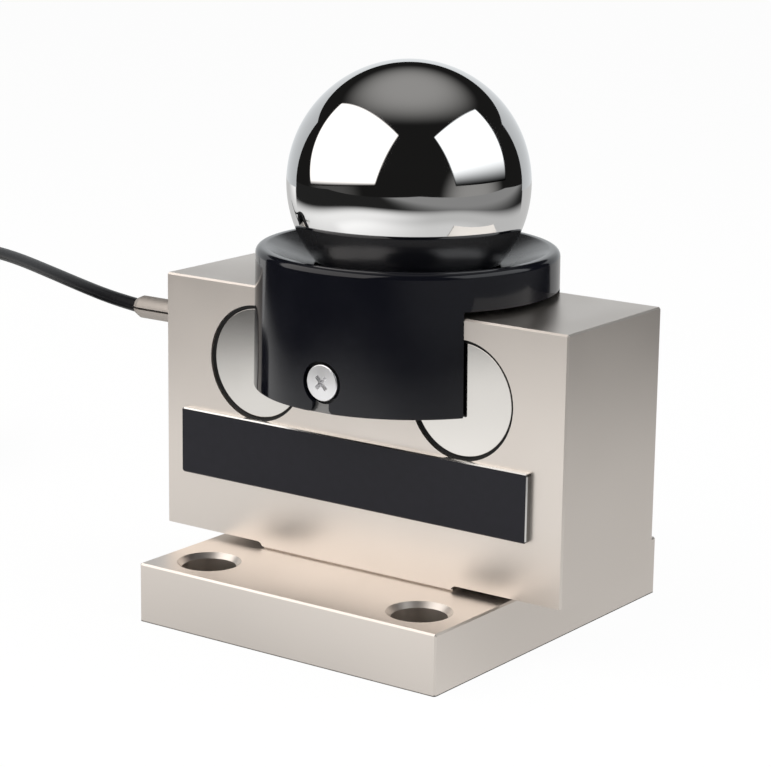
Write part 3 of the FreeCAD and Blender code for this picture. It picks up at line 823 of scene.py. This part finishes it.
class LOADCELL_OT_plate(bpy.types.Operator):
    """Cut the nameplate: black face, with metal showing only along its upper and right edges, where light
    catches them, as a painted highlight, and darker metal on its right side as painted shade
    """

    bl_idname = "loadcell.plate"
    bl_label = "Nameplate"

    # Skins of the plate: metal as a painted highlight on the edges that face up or right, and darker metal
    # as painted shade on its right side
    PAINTED_HIGHLIGHT_EDGE = 1
    PAINTED_SHADE_SIDE = 2

    def bevel_face(self, bm, width):
        """Bevels the edges round the plate's front face, and gives the sloped faces."""
        front = [item for item in bm.faces if item.normal.y < -FACING]
        slopes = bmesh.ops.inset_region(bm, faces=front, thickness=width)["faces"]
        inner = {vert for item in front for vert in item.verts}
        rim = {vert for item in slopes for vert in item.verts} - inner
        bmesh.ops.translate(bm, vec=(0.0, width, 0.0), verts=list(rim))
        bm.normal_update()
        return slopes

    def execute(self, context):
        sizes = context.scene.cell_sizes
        colours = context.scene.cell_colours
        face = fine_plastic("plate_face", colours.plate, smooth=0.28, rough=0.33, scale=300.0,
                            depth=0.001 * MM, sheen=0.2)
        edge = satin_metal("plate_painted_highlight", colours.plate_painted_highlight, smooth=0.2, rough=0.32)
        side = satin_metal("plate_painted_shade", shade(colours.plate_painted_highlight, 0.25), smooth=0.2, rough=0.32)
        bm = block(PLATE_LOW, PLATE_HIGH)
        thickness = PLATE_HIGH.y - PLATE_LOW.y
        corners = [item for item in bm.edges
                   if abs(item.verts[0].co.y - item.verts[1].co.y) > thickness / 2]
        bmesh.ops.bevel(bm, geom=corners, offset=sizes.plate_corner, affect="EDGES", segments=6,
                        profile=0.5, material=-1)
        slopes = self.bevel_face(bm, sizes.plate_bevel)
        # Edges facing up or right get the metal as a painted highlight; the right side gets darker metal as
        # painted shade
        for item in bm.faces:
            painted_highlight = item in slopes and item.normal.x + item.normal.z > LEANING
            if painted_highlight or item.normal.z > FACING:
                item.material_index = self.PAINTED_HIGHLIGHT_EDGE
            elif item.normal.x > LEANING:
                item.material_index = self.PAINTED_SHADE_SIDE
        mesh = mesh_from(bm, "highlighted_nameplate", face, edge, side)
        new_piece("highlighted_nameplate", mesh, "plate_black", "nameplate")
        return {"FINISHED"}


class LOADCELL_OT_gland(bpy.types.Operator):
    """Finish the split ferrule that holds the cable"""

    bl_idname = "loadcell.gland"
    bl_label = "Cable gland"

    def execute(self, context):
        dark_nickel = shade(context.scene.cell_colours.nickel, 0.66)
        finish_node("cable_gland", satin_metal("gland_nickel", dark_nickel, smooth=0.58, rough=0.66))
        return {"FINISHED"}


class LOADCELL_OT_inner_parts(bpy.types.Operator):
    """Finish the gauges, leads and board inside the beam"""

    bl_idname = "loadcell.inner_parts"
    bl_label = "Inner parts"

    def execute(self, context):
        film = gauge_film("gauge_film", GAUGE_AMBER)
        enamel = fine_plastic("lead_enamel", ENAMEL_RED)
        for side in SIDES:
            for end in ENDS:
                finish_node(f"strain_gauge_{side}_{end}", film)
                finish_node(f"gauge_lead_{side}_{end}", enamel)
        finish_node("compensation_board", fine_plastic("solder_mask", BOARD_GREEN, smooth=0.25, rough=0.35))
        finish_node("trim_resistors", fine_plastic("resistor_glaze", RESISTOR_BLACK))
        finish_node("board_spacers", satin_metal("turned_brass", SPACER_BRASS, smooth=0.2, rough=0.3))
        return {"FINISHED"}


class LOADCELL_OT_cable(bpy.types.Operator):
    """Lay the cable from the gland to its coil, with its tie and stripped wires"""

    bl_idname = "loadcell.cable"
    bl_label = "Cable"

    def coil_width(self, sizes):
        """From the innermost turn of a layer to its outermost one."""
        return (sizes.coil_turns - 1) * sizes.coil_pitch

    def coil_points(self, sizes):
        """Control points of the coil: layer under layer, each wound in and the next wound out again."""
        pull = math.cos(math.pi / sizes.points_per_turn)
        width = self.coil_width(sizes)
        steps = sizes.coil_turns * sizes.points_per_turn
        crossing = sizes.points_per_turn // 2
        points = []
        for layer in range(sizes.coil_layers):
            below = sizes.coil_layers - 1 - layer
            for step in range(steps):
                wound = min(step / (steps - crossing), 1.0)
                share = 1.0 - wound if layer % 2 == 0 else wound
                radius = (sizes.coil_inner_turn + width * share) / pull
                drop = max(step - (steps - crossing), 0) / crossing if below else 0.0
                turn = math.pi + math.tau * step / sizes.points_per_turn
                over_tie = max(math.cos(turn), 0.0) ** TIE_NARROWNESS
                lift = TIE_LIFT * over_tie * layer / (sizes.coil_layers - 1)
                height = sizes.cable_diameter / 2 + (below - drop) * sizes.coil_pitch + lift
                out = Vector((radius * math.cos(turn), radius * math.sin(turn), height))
                points.append(COIL_MIDDLE + out)
        return points

    def route(self, sizes):
        """The cable's control points: the lead, the coil, where it leaves the coil, and the tail."""
        outer_turn = sizes.coil_inner_turn + self.coil_width(sizes)
        leaving = COIL_MIDDLE + Vector((-outer_turn, 0.0, sizes.cable_diameter / 2))
        lead, tail = ([Vector(point) * MM for point in part] for part in (LEAD_ROUTE, TAIL_ROUTE))
        return [*lead, *self.coil_points(sizes), leaving, *tail]

    def finish_ends(self, jacket):
        """Finishes what the cable runs into: its inner end, its tie and its stripped wires."""
        finish_node("cable_inner_run", jacket)
        finish_node("coil_tie", fine_plastic("tie_nylon", TIE_BLACK, smooth=0.4, rough=0.55))
        for wire, colour in WIRES.items():
            if wire == SHIELD:
                finish = braid("tinned_braid", colour)
            else:
                finish = fine_plastic("insulation_" + wire, colour, smooth=0.35, rough=0.45)
            finish_node("wire_" + wire, finish)

    def execute(self, context):
        sizes = context.scene.cell_sizes
        jacket = fine_plastic("cable_jacket", context.scene.cell_colours.cable, smooth=0.28, rough=0.36,
                              depth=0.003 * MM, sheen=0.1)
        points = self.route(sizes)
        curve = bpy.data.curves.new("signal_cable", "CURVE")
        curve.dimensions = "3D"
        curve.bevel_depth = sizes.cable_diameter / 2
        curve.bevel_resolution = 5
        curve.resolution_u = 4
        curve.use_fill_caps = True
        spline = curve.splines.new("NURBS")
        spline.points.add(len(points) - 1)
        for place, point in zip(spline.points, points):
            place.co = (*point, 1.0)
        spline.order_u = 3
        spline.use_endpoint_u = True
        curve.materials.append(jacket)
        cable = bpy.data.objects.new("signal_cable", curve)
        context.scene.collection.objects.link(cable)
        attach(cable, "root")
        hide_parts("cable_lead", "cable_coil", "cable_tail")
        self.finish_ends(jacket)
        on_cable = [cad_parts[node] for node in ("cable_gland", "cable_inner_run", "coil_tie")]
        on_cable += [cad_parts["wire_" + wire] for wire in WIRES]
        return {"FINISHED"}


class LOADCELL_OT_stage(bpy.types.Operator):
    """Set up the floor, the light and the camera"""

    bl_idname = "loadcell.stage"
    bl_label = "Studio"

    def execute(self, context):
        self.floor(context)
        self.table(context)
        self.backdrop(context)
        self.room(context)
        self.world(context)
        self.lamps(context)
        self.camera(context)
        context.scene.view_settings.view_transform = "Standard"
        return {"FINISHED"}

    def stage_piece(self, context, name, bm, material):
        """A piece of the studio, which isn't part of the object."""
        mesh = bpy.data.meshes.new(name)
        bm.to_mesh(mesh)
        bm.free()
        mesh.materials.append(material)
        piece = bpy.data.objects.new(name, mesh)
        context.scene.collection.objects.link(piece)
        return piece

    def only_in_reflections(self, piece):
        """Hides a piece from everything but glossy rays."""
        piece.visible_camera = False
        piece.visible_diffuse = False
        piece.visible_transmission = False
        piece.visible_volume_scatter = False
        piece.visible_shadow = False

    def glow_material(self, name, colour):
        """A material that only glows, its node tree and its glow."""
        material = bpy.data.materials.new(name)
        material.use_nodes = True
        tree = material.node_tree
        tree.nodes.clear()
        glow = tree.nodes.new("ShaderNodeEmission")
        glow.inputs["Color"].default_value = (*colour, 1.0)
        output = tree.nodes.new("ShaderNodeOutputMaterial")
        tree.links.new(glow.outputs["Emission"], output.inputs["Surface"])
        return material, tree, glow

    def calculate(self, tree, operation, first, second=None):
        """A sum on a value and, where it takes one, another value or number."""
        node = tree.nodes.new("ShaderNodeMath")
        node.operation = operation
        tree.links.new(first, node.inputs[0])
        if isinstance(second, float):
            node.inputs[1].default_value = second
        elif second is not None:
            tree.links.new(second, node.inputs[1])
        return node.outputs["Value"]

    def largest(self, tree, first, *others):
        """The largest of some values."""
        for other in others:
            first = self.calculate(tree, "MAXIMUM", first, other)
        return first

    def fade(self, tree, value, span, levels):
        """A soft step from one level to another over a span of the value."""
        step = spread(tree, value, *levels, *span)
        step.node.interpolation_type = "SMOOTHSTEP"
        return step

    def studio_way(self, way):
        """A direction in the world from one in the camera's own ways."""
        right, toward, up = way
        return CAMERA_RIGHT * right + TOWARD_CAMERA * toward + UP * up

    def measure(self, tree, way):
        """How far a point lies along a direction."""
        where = tree.nodes.new("ShaderNodeTexCoord")
        along = tree.nodes.new("ShaderNodeVectorMath")
        along.operation = "DOT_PRODUCT"
        along.inputs[1].default_value = way
        tree.links.new(where.outputs["Object"], along.inputs[0])
        return along.outputs["Value"]

    def distance(self, tree, way):
        """How far a point lies from the middle, along a direction or against it."""
        return self.calculate(tree, "ABSOLUTE", self.measure(tree, way))

    def floor(self, context):
        """A white floor that keeps a faint shadow of the object."""
        bm = bmesh.new()
        bmesh.ops.create_grid(bm, x_segments=1, y_segments=1, size=FLOOR_HALF)
        material, tree, shader = tree_of("pale_floor")
        shader.inputs["Base Color"].default_value = FLOOR_GREY
        shader.inputs["Roughness"].default_value = 0.9
        shader.inputs["Specular IOR Level"].default_value = 0.0
        glow = tree.nodes.new("ShaderNodeEmission")
        ray = tree.nodes.new("ShaderNodeLightPath")
        share = self.calculate(tree, "MULTIPLY", ray.outputs["Is Camera Ray"], FLOOR_WHITE_SHARE)
        mix = tree.nodes.new("ShaderNodeMixShader")
        tree.links.new(share, mix.inputs["Fac"])
        tree.links.new(shader.outputs["BSDF"], mix.inputs[1])
        tree.links.new(glow.outputs["Emission"], mix.inputs[2])
        tree.links.new(mix.outputs["Shader"], tree.nodes["Material Output"].inputs["Surface"])
        floor = self.stage_piece(context, "floor", bm, material)
        floor.visible_glossy = False

    def table_distance(self, tree, across, toward):
        """How far out a point of the table lies, measured in rounded squares."""
        powers = []
        for way in (across, toward):
            ahead = self.calculate(tree, "MAXIMUM", way, 0.0)
            powers.append(self.calculate(tree, "POWER", ahead, TABLE_CORNER_POWER))
        return self.calculate(tree, "POWER", self.calculate(tree, "ADD", *powers), 1.0 / TABLE_CORNER_POWER)

    def table_reach(self, tree, out, across, toward):
        """How far the table's light reaches: to its rounded edges, and behind the object to the backdrop."""
        reach = self.fade(tree, out, TABLE_SPAN, FADE_OUT)
        behind = self.calculate(tree, "MULTIPLY", toward, math.tan(BACKDROP_HALF_ANGLE))
        before = self.fade(tree, self.calculate(tree, "ADD", across, behind), BEHIND_SPAN, FADE_OUT)
        return self.largest(tree, reach, before)

    def table_level(self, tree, out, toward):
        """How bright the table is: more to the left, and a little more close before the object."""
        level = self.fade(tree, self.measure(tree, self.studio_way(BRIGHT_WAY)), BRIGHT_SPAN, BRIGHT_LEVELS)
        close = self.fade(tree, out, CLOSE_SPAN, CLOSE_LEVELS)
        close = self.calculate(tree, "MULTIPLY", close, self.fade(tree, toward, FRONT_SPAN, FADE_IN))
        return self.calculate(tree, "MULTIPLY", level, self.calculate(tree, "ADD", close, 1.0))

    def table(self, context):
        """The pale table top that the metal shows, fading into the dark room, with a painted shadow under
        the foot.
        """
        bm = bmesh.new()
        bmesh.ops.create_grid(bm, x_segments=1, y_segments=1, size=TABLE_HALF)
        bmesh.ops.translate(bm, vec=UP * TABLE_OVER_FLOOR, verts=bm.verts)
        material, tree, glow = self.glow_material("table_top", TABLE_COLOUR)
        across = self.distance(tree, CAMERA_RIGHT)
        toward = self.measure(tree, TOWARD_CAMERA)
        out = self.table_distance(tree, across, toward)
        level = self.table_level(tree, out, toward)
        lit = self.calculate(tree, "MULTIPLY", level, self.table_reach(tree, out, across, toward))
        near_right = self.measure(tree, self.studio_way(BEYOND_WAY))
        lit = self.largest(tree, lit, self.fade(tree, near_right, BEYOND_SPAN, BEYOND_LEVELS))
        # Painted shadow: the table's glow is cut off under the foot
        outside_painted_shadow = [self.calculate(tree, "GREATER_THAN", self.distance(tree, way), half)
                     for way, half in zip((ALONG_X, ALONG_Y), FOOT_SHADOW_HALVES)]
        lit = self.calculate(tree, "MULTIPLY", lit, self.largest(tree, *outside_painted_shadow))
        tree.links.new(lit, glow.inputs["Strength"])
        self.only_in_reflections(self.stage_piece(context, "table", bm, material))

    def backdrop(self, context):
        """The lit backdrop that shows in upward faces, curved round the back of the table."""
        bm = bmesh.new()
        start = TOWARD_CAMERA * -BACKDROP_DISTANCE
        ends = [bm.verts.new(start), bm.verts.new(start + UP * BACKDROP_HEIGHT)]
        upright = bm.edges.new(ends)
        bmesh.ops.rotate(bm, matrix=Matrix.Rotation(-BACKDROP_HALF_ANGLE, 3, "Z"), verts=bm.verts)
        bmesh.ops.spin(bm, geom=[*ends, upright], axis=UP, cent=(0, 0, 0),
                       angle=2 * BACKDROP_HALF_ANGLE, steps=BACKDROP_STEPS, use_merge=False)
        material, tree, glow = self.glow_material("lit_backdrop", BACKDROP_COLOUR)
        level = spread(tree, self.distance(tree, CAMERA_RIGHT), *BACKDROP_LEVELS, *BACKDROP_SPAN)
        tree.links.new(level, glow.inputs["Strength"])
        self.only_in_reflections(self.stage_piece(context, "backdrop", bm, material))

    def room(self, context):
        """The dark room round the table, with its paler patches."""
        bm = bmesh.new()
        bmesh.ops.create_uvsphere(bm, u_segments=64, v_segments=32, radius=ROOM_RADIUS)
        material, tree, glow = self.glow_material("dark_room", ROOM_COLOUR)
        patches = []
        for way, half_angle, strength in ROOM_GLOWS:
            toward = self.measure(tree, self.studio_way(way).normalized() / ROOM_RADIUS)
            span = (math.cos(math.radians(half_angle)), 1.0)
            patches.append(self.fade(tree, toward, span, (ROOM_DARK, strength)))
        tree.links.new(self.largest(tree, *patches), glow.inputs["Strength"])
        self.only_in_reflections(self.stage_piece(context, "room", bm, material))

    def world(self, context):
        """A white background for what is seen or mirrored, and a soft fill for the rest."""
        world = bpy.data.worlds.new("pale_studio")
        context.scene.world = world
        world.use_nodes = True
        tree = world.node_tree
        backdrop = tree.nodes["Background"]
        backdrop.inputs["Color"].default_value = WHITE
        fill = tree.nodes.new("ShaderNodeBackground")
        fill.inputs["Color"].default_value = WHITE
        fill.inputs["Strength"].default_value = FILL_STRENGTH
        ray = tree.nodes.new("ShaderNodeLightPath")
        kinds = ("Is Camera Ray", "Is Glossy Ray", "Is Transmission Ray")
        seen = self.largest(tree, *(ray.outputs[kind] for kind in kinds))
        mix = tree.nodes.new("ShaderNodeMixShader")
        tree.links.new(seen, mix.inputs["Fac"])
        tree.links.new(fill.outputs["Background"], mix.inputs[1])
        tree.links.new(backdrop.outputs["Background"], mix.inputs[2])
        tree.links.new(mix.outputs["Shader"], tree.nodes["World Output"].inputs["Surface"])

    def softbox_face(self, context, name, box):
        """The bright front of a softbox, with soft edges, as the metal shows it."""
        bm = bmesh.new()
        bmesh.ops.create_grid(bm, x_segments=1, y_segments=1, size=0.5)
        bmesh.ops.scale(bm, vec=(box.width, box.height, 1.0), verts=bm.verts)
        material, tree, glow = self.glow_material(name, box.colour)
        edges = (
            (self.measure(tree, -ALONG_Y), box.height, box.lower_fade),
            (self.distance(tree, ALONG_X), box.width, SOFTBOX_EDGE_FADE),
            (self.distance(tree, ALONG_Y), box.height, SOFTBOX_EDGE_FADE),
        )
        fades = [self.fade(tree, out, ((0.5 - share) * size, 0.5 * size), FADE_OUT)
                 for out, size, share in edges]
        level = fades[0]
        for factor in (*fades[1:], box.glow):
            level = self.calculate(tree, "MULTIPLY", level, factor)
        tree.links.new(level, glow.inputs["Strength"])
        face = self.stage_piece(context, name, bm, material)
        self.only_in_reflections(face)
        return face

    def lamps(self, context):
        """Two large softboxes, each a lamp and the face that the metal shows."""
        for name, box in SOFTBOXES.items():
            data = bpy.data.lights.new(name, "AREA")
            data.shape = "RECTANGLE"
            data.size = box.width
            data.size_y = box.height
            data.energy = box.power
            data.color = box.colour
            lamp = bpy.data.objects.new(name, data)
            lamp.visible_glossy = False
            context.scene.collection.objects.link(lamp)
            direction = Vector(box.direction).normalized()
            turn = direction.to_track_quat("Z", "Y") @ Quaternion(UP, box.roll)
            for item in (lamp, self.softbox_face(context, name + "_face", box)):
                item.location = BALL_MIDDLE + direction * SOFTBOX_DISTANCE
                item.rotation_euler = turn.to_euler()

    def camera(self, context):
        """The camera, at the photograph's place and angle."""
        data = bpy.data.cameras.new("camera")
        data.lens = CAMERA_LENS
        data.sensor_width = CAMERA_SENSOR
        data.sensor_fit = "HORIZONTAL"
        camera = bpy.data.objects.new("camera", data)
        back = TOWARD_CAMERA * math.cos(CAMERA_ELEVATION) + UP * math.sin(CAMERA_ELEVATION)
        camera.location = CAMERA_PLACE
        turn = back.to_track_quat("Z", "Y") @ Quaternion(UP, CAMERA_ROLL)
        camera.rotation_euler = turn.to_euler()
        context.scene.collection.objects.link(camera)
        context.scene.camera = camera


OPERATORS = (
    LOADCELL_OT_body,
    LOADCELL_OT_ball,
    LOADCELL_OT_sleeve,
    LOADCELL_OT_screws,
    LOADCELL_OT_covers,
    LOADCELL_OT_plate,
    LOADCELL_OT_gland,
    LOADCELL_OT_inner_parts,
    LOADCELL_OT_cable,
    LOADCELL_OT_stage,
)


class LOADCELL_PT_panel(bpy.types.Panel):
    """Lists the load cell's pieces, sizes and colours"""

    bl_idname = "LOADCELL_PT_panel"
    bl_label = "Load cell"
    bl_space_type = "VIEW_3D"
    bl_region_type = "UI"
    bl_category = "Load cell"

    def draw(self, context):
        layout = self.layout
        for operator in OPERATORS:
            layout.operator(operator.bl_idname)
        for group in (context.scene.cell_sizes, context.scene.cell_colours):
            column = layout.column(align=True)
            for name in group.__annotations__:
                column.prop(group, name)


CLASSES = (CellSizes, CellColours, *OPERATORS, LOADCELL_PT_panel)


def register():
    for cls in CLASSES:
        bpy.utils.register_class(cls)
    bpy.types.Scene.cell_sizes = bpy.props.PointerProperty(type=CellSizes)
    bpy.types.Scene.cell_colours = bpy.props.PointerProperty(type=CellColours)


def unregister():
    del bpy.types.Scene.cell_colours
    del bpy.types.Scene.cell_sizes
    for cls in reversed(CLASSES):
        bpy.utils.unregister_class(cls)


def main():
    register()
    bpy.ops.loadcell.body()
    bpy.ops.loadcell.ball()
    bpy.ops.loadcell.sleeve()
    bpy.ops.loadcell.screws()
    bpy.ops.loadcell.covers()
    bpy.ops.loadcell.plate()
    bpy.ops.loadcell.gland()
    bpy.ops.loadcell.inner_parts()
    bpy.ops.loadcell.cable()
    bpy.ops.loadcell.stage()


if __name__ == "__main__":
    main()
